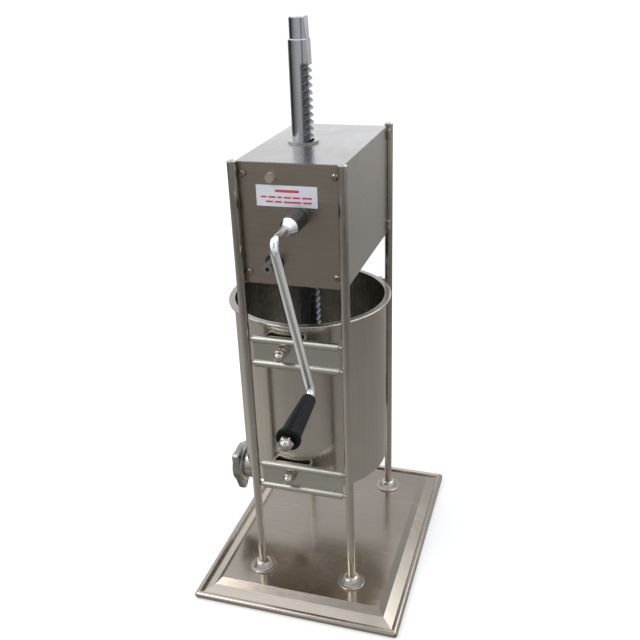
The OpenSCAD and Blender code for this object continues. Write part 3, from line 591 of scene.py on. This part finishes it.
def weld_beads():
    """Short rippled beads in the corners between the posts and the housing."""
    box_low, box_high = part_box("housing")
    bead_radius = 3.4 * MM
    ripples, ripple_depth = 7, 0.09
    bm = bmesh.new()
    for low, high in islands("corner_welds"):
        side_x = 1 if low.x > 0 else -1
        side_y = 1 if low.y > 0 else -1
        wall = box_high.x if side_x > 0 else box_low.x
        end = box_high.y if side_y > 0 else box_low.y
        corner = (wall + side_x * 2 * MM, end + side_y * 1 * MM, low.z)
        matrix = Matrix.Translation(Vector(corner))
        length = high.z - low.z
        steps = 40
        levels = [(0.0, 0)]
        for i in range(1, steps):
            t = i / steps
            belly = min(1.0, (1 - abs(2 * t - 1) ** 6) ** 0.5)
            ripple = 1 - ripple_depth * abs(math.sin(math.pi * ripples * t))
            levels.append((length * t, bead_radius * belly * ripple))
        levels.append((length, 0))
        lathe(bm, matrix, levels, 28)
    return finish_piece("corner_weld_beads", bm, "weld_steel", "frame", ["corner_welds"], sharp=70)


def rounded_bar(bm, x, z, width, height, front, depth):
    """A thin printed bar with rounded ends, standing out from y = front by depth."""
    radius = height / 2
    steps = 8
    outline = []
    for centre, start in ((x + width - radius, -90), (x + radius, 90)):
        for i in range(steps + 1):
            angle = math.radians(start + 180 * i / steps)
            outline.append((centre + radius * math.cos(angle), z + radius * math.sin(angle)))
    back = [bm.verts.new((px, front, pz)) for px, pz in outline]
    face = [bm.verts.new((px, front - depth, pz)) for px, pz in outline]
    bm.faces.new(face)
    bm.faces.new(list(reversed(back)))
    for i in range(len(outline)):
        j = (i + 1) % len(outline)
        bm.faces.new((back[i], back[j], face[j], face[i]))


def label_print():
    """Blank generic marks on the sticker: a heading bar and two rows of short dashes."""
    low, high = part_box("label_plate")
    width, height = high.x - low.x, high.z - low.z
    ink = 0.03 * MM
    dash_unit, dash_gap = width * 0.021, width * 0.022
    bm = bmesh.new()
    rounded_bar(bm, low.x + width * 0.31, low.z + height * 0.74, width * 0.40, height * 0.13,
                low.y, ink)
    for row, (start, dashes) in enumerate(((0.07, (5, 6, 4, 6, 6, 8)), (0.15, (6, 6, 14, 7)))):
        x = low.x + width * start
        for dash in dashes:
            dash_width = dash * dash_unit
            rounded_bar(bm, x, low.z + height * (0.44 - 0.22 * row), dash_width, height * 0.085,
                        low.y, ink)
            x += dash_width + dash_gap
    return finish_piece("label_print", bm, "sticker", "frame", material=INK)


# ---------------------------------------------------------------- build

def dress_nodes():
    """Each CAD node takes the material of its slot; the cover screws are a darker steel."""
    slot_of = {part["node"]: part["material_slot"] for part in frame["record"]["subparts"]}
    for name, node in NODES.items():
        node.data.materials.clear()
        node.data.materials.append(SCREW_STEEL if name == "cover_screws" else MATERIALS[slot_of[name]])


def floor():
    """Pale sheet that the metal doesn't reflect."""
    bm = bmesh.new()
    reach = 30.0
    signs = ((-1, -1), (1, -1), (1, 1), (-1, 1))
    bm.faces.new([bm.verts.new((x * reach, y * reach, 0)) for x, y in signs])
    mesh = bpy.data.meshes.new("floor")
    bm.to_mesh(mesh)
    bm.free()
    s = Shader("floor")
    speckle = s.noise(s.place(), 3.0, 3.0)
    s.colour(s.mix(s.ramp(speckle, 0.0, 1.0), (0.86, 0.86, 0.86), (0.89, 0.89, 0.885)))
    s.set(Roughness=0.7, Specular_IOR_Level=0.2)
    s.set(Emission_Color=(*WARM_LIGHT, 1), Emission_Strength=0.22)
    mesh.materials.append(s.material)
    piece = bpy.data.objects.new("floor", mesh)
    piece.visible_glossy = False
    bpy.context.scene.collection.objects.link(piece)


def area_light(name, place, target, size, power, colour=(1, 1, 1)):
    light = bpy.data.lights.new(name, "AREA")
    light.shape = "RECTANGLE"
    light.size, light.size_y = size
    light.energy = power
    light.color = colour
    lamp = bpy.data.objects.new(name, light)
    lamp.location = place
    lamp.rotation_euler = (Vector(target) - Vector(place)).to_track_quat("-Z", "Y").to_euler()
    bpy.context.scene.collection.objects.link(lamp)


# Soft room round the object. Each side has its own brightness by height (the sine of the
# elevation), and the colour of the light is warm near the floor and cool above.
ROOM = {
    "front": ((0, -1), (
        (-1.0, 0.15), (-0.75, 0.30), (-0.66, 0.45), (-0.56, 0.38), (-0.42, 0.28), (-0.30, 0.15),
        (-0.16, 0.48), (0.0, 0.50), (0.22, 0.55), (0.5, 0.8), (0.8, 0.35), (0.92, 0.35), (1.0, 1.1))),
    "left": ((-1, 0), (
        (-1.0, 0.15), (-0.72, 0.40), (-0.6, 0.62), (-0.35, 0.42), (-0.2, 0.12), (-0.05, 0.10),
        (0.1, 0.6), (0.4, 1.3), (1.0, 1.2))),
    "right": ((1, 0), (
        (-1.0, 0.15), (-0.72, 0.25), (-0.6, 0.38), (-0.5, 0.34), (-0.34, 0.18), (-0.18, 0.50),
        (0.1, 0.35), (0.4, 0.9), (1.0, 1.2))),
    "back": ((0, 1), (
        (-1.0, 0.15), (-0.75, 0.2), (-0.6, 0.34), (-0.3, 0.34), (-0.05, 0.6), (0.11, 1.75),
        (0.2, 1.4), (0.28, 0.7), (0.45, 0.55), (0.65, 0.45), (0.82, 1.7), (1.0, 1.5))),
}
# Darker upright strips of the room: azimuth and half width in degrees, depth, and low and high sine.
DARK_STRIPS = ((-50, 6, 0.62, -0.5, 0.3), (172, 20, 0.7, -0.22, 0.1), (44, 15, 0.55, 0.1, 0.5))
STRIP_FADE = 0.06
WARM_LIGHT = (1.0, 0.97, 0.93)
COOL_LIGHT = (0.96, 0.99, 1.04)


def studio():
    """World light from ROOM and DARK_STRIPS, with a soft key and rim lamp."""
    world = bpy.data.worlds.new("studio")
    bpy.context.scene.world = world
    world.use_nodes = True
    tree = world.node_tree

    def node(kind, **settings):
        made = tree.nodes.new("ShaderNode" + kind)
        for key, value in settings.items():
            setattr(made, key, value)
        return made

    def calc(operation, *values):
        made = node("Math", operation=operation)
        for slot, value in zip(made.inputs, values):
            if isinstance(value, (int, float)):
                slot.default_value = value
            else:
                tree.links.new(value, slot)
        return made.outputs["Value"]

    def smooth_step(value, zero_at, one_at):
        made = node("MapRange", interpolation_type="SMOOTHSTEP")
        tree.links.new(value, made.inputs["Value"])
        made.inputs["From Min"].default_value = zero_at
        made.inputs["From Max"].default_value = one_at
        return made.outputs["Result"]

    split = node("SeparateXYZ")
    tree.links.new(node("TexCoord").outputs["Generated"], split.inputs["Vector"])
    x, y, z = (split.outputs[axis] for axis in "XYZ")
    level = calc("SQRT", calc("MAXIMUM", calc("SUBTRACT", 1.0, calc("MULTIPLY", z, z)), 0.0001))
    height = calc("MULTIPLY_ADD", z, 0.5, 0.5)
    total = None
    for (side_x, side_y), stops in ROOM.values():
        facing = calc("ADD", calc("MULTIPLY", x, side_x), calc("MULTIPLY", y, side_y))
        weight = calc("POWER", calc("MAXIMUM", calc("DIVIDE", facing, level), 0.0), 2.0)
        ramp = node("ValToRGB")
        tree.links.new(height, ramp.inputs["Fac"])
        elements = ramp.color_ramp.elements
        while len(elements) < len(stops):
            elements.new(0.5)
        for element, (sine, light) in zip(elements, stops):
            element.position = (sine + 1) / 2
            tint = WARM_LIGHT if sine < 0.0 else COOL_LIGHT
            element.color = (*(c * light for c in tint), 1)
        part = node("VectorMath", operation="SCALE")
        tree.links.new(ramp.outputs["Color"], part.inputs["Vector"])
        tree.links.new(weight, part.inputs["Scale"])
        if total is None:
            total = part.outputs["Vector"]
        else:
            added = node("VectorMath", operation="ADD")
            tree.links.new(total, added.inputs[0])
            tree.links.new(part.outputs["Vector"], added.inputs[1])
            total = added.outputs["Vector"]
    for azimuth, half_width, depth, low, high in DARK_STRIPS:
        aim_x, aim_y = math.cos(math.radians(azimuth)), math.sin(math.radians(azimuth))
        facing = calc("ADD", calc("MULTIPLY", x, aim_x), calc("MULTIPLY", y, aim_y))
        inner = math.cos(math.radians(half_width * 0.5))
        outer = math.cos(math.radians(half_width * 1.5))
        across = smooth_step(calc("DIVIDE", facing, level), outer, inner)
        above = smooth_step(z, low - STRIP_FADE, low + STRIP_FADE)
        below = smooth_step(z, high + STRIP_FADE, high - STRIP_FADE)
        shade = calc("MULTIPLY", across, calc("MULTIPLY", above, below))
        dimmed = node("VectorMath", operation="SCALE")
        tree.links.new(total, dimmed.inputs["Vector"])
        tree.links.new(calc("SUBTRACT", 1.0, calc("MULTIPLY", shade, depth)), dimmed.inputs["Scale"])
        total = dimmed.outputs["Vector"]
    tree.links.new(total, tree.nodes["Background"].inputs["Color"])
    tree.nodes["Background"].inputs["Strength"].default_value = 1.0
    area_light("key", (-1.5, -1.3, 2.4), (0, 0, 0.4), (1.3, 1.3), 22, (1.0, 0.98, 0.95))
    area_light("rim", (1.2, 1.6, 2.2), (0, 0, 0.4), (1.4, 1.0), 10, (0.95, 0.98, 1.0))


def camera():
    """Front view from above right: place in metres, direction in degrees."""
    place = Vector((0.3310, -1.0375, 0.8885))
    yaw, pitch, roll = (math.radians(a) for a in (18.1, -25.2, -2.2))
    forward = Vector((-math.sin(yaw) * math.cos(pitch), math.cos(yaw) * math.cos(pitch), math.sin(pitch)))
    level = Vector((math.cos(yaw), math.sin(yaw), 0))
    up = level.cross(forward)
    right = level * math.cos(roll) + up * math.sin(roll)
    up = right.cross(forward)
    data = bpy.data.cameras.new("camera")
    data.sensor_width = 36
    data.lens = 45.9
    data.shift_x = 0.0034
    data.shift_y = 0.0139
    data.clip_end = 100
    eye = bpy.data.objects.new("camera", data)
    eye.matrix_world = Matrix((right, up, -forward)).transposed().to_4x4()
    eye.location = place
    bpy.context.scene.collection.objects.link(eye)
    bpy.context.scene.camera = eye


camera()
studio()
floor()
dress_nodes()
rail_nuts("rail_acorn_nuts", add_acorn)
rail_nuts("lock_nuts", add_hex_nut)
foot_flanges()
ribbed_grip()
grip_nut()
ring_nut()
weld_beads()
label_print()

bpy.context.scene.view_settings.view_transform = "Standard"
